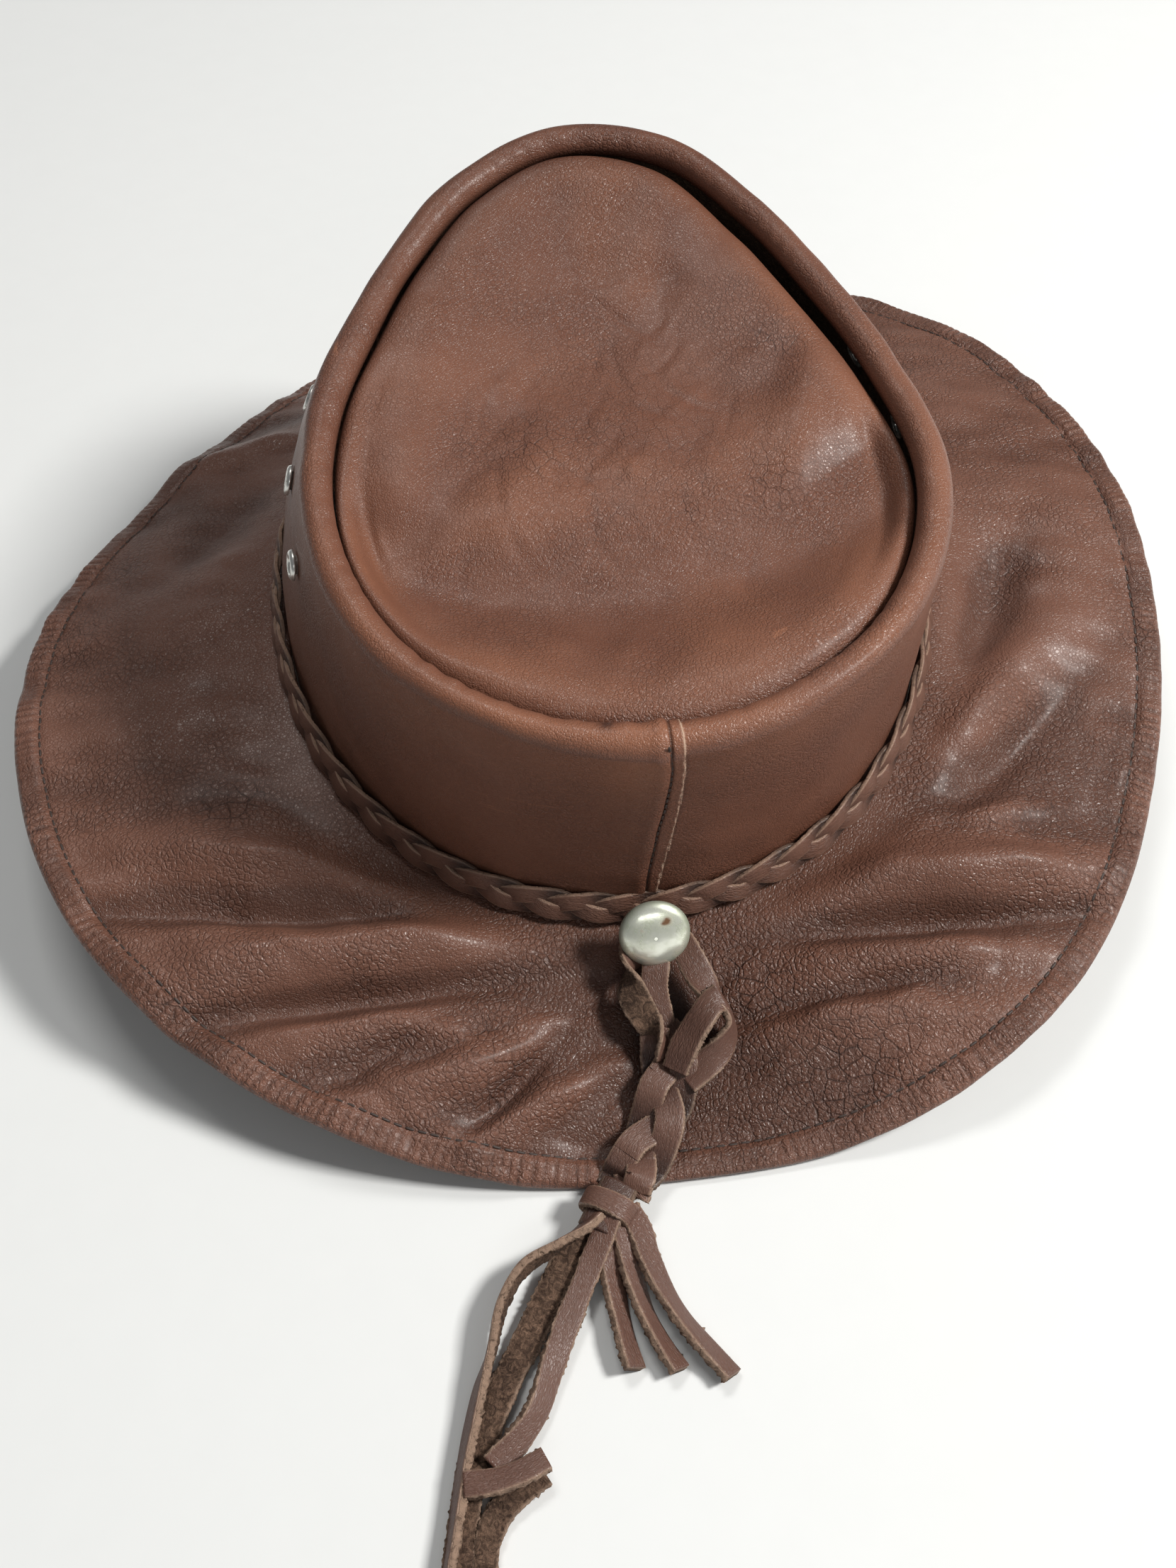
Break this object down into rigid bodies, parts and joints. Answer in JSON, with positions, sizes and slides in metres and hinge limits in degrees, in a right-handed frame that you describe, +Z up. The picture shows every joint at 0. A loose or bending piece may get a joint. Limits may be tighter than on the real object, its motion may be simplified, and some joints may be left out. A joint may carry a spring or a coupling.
{
  "type": "bush hat",
  "caption": "Brown leather bush hat with a pinched crown, a rolled lip, a wavy brim, a braided band and a lace tassel at the back.",
  "frame": {"origin": "middle of the outline seen from above, on the surface that the hat rests on", "axes": "+Z up, -Y the hat's front, +Y its back, where the tassel lies, +X the wearer's left"},
  "size_m": [0.317, 0.434, 0.1217],
  "materials": {
    "crown_leather": "smooth grained brown leather, satin, worn",
    "brim_leather": "pebbled brown leather, satin, creased",
    "braid_leather": "dark brown braided leather, dull",
    "lace_leather": "dark brown laces, smooth on one side and suede on the other",
    "eyelet_metal": "worn silvery metal",
    "button_metal": "tarnished silvery metal with a green cast"
  },
  "bodies": {
    "root": {"crown_side": "crown_leather", "crown_top": "crown_leather", "brim": "brim_leather", "hat_band": "braid_leather", "tail_braid": "braid_leather", "tassel": "lace_leather", "button": "button_metal", "eyelet_left_1": "eyelet_metal", "eyelet_left_2": "eyelet_metal", "eyelet_left_3": "eyelet_metal", "eyelet_right_1": "eyelet_metal", "eyelet_right_2": "eyelet_metal", "eyelet_right_3": "eyelet_metal"}
  },
  "joints": []
}
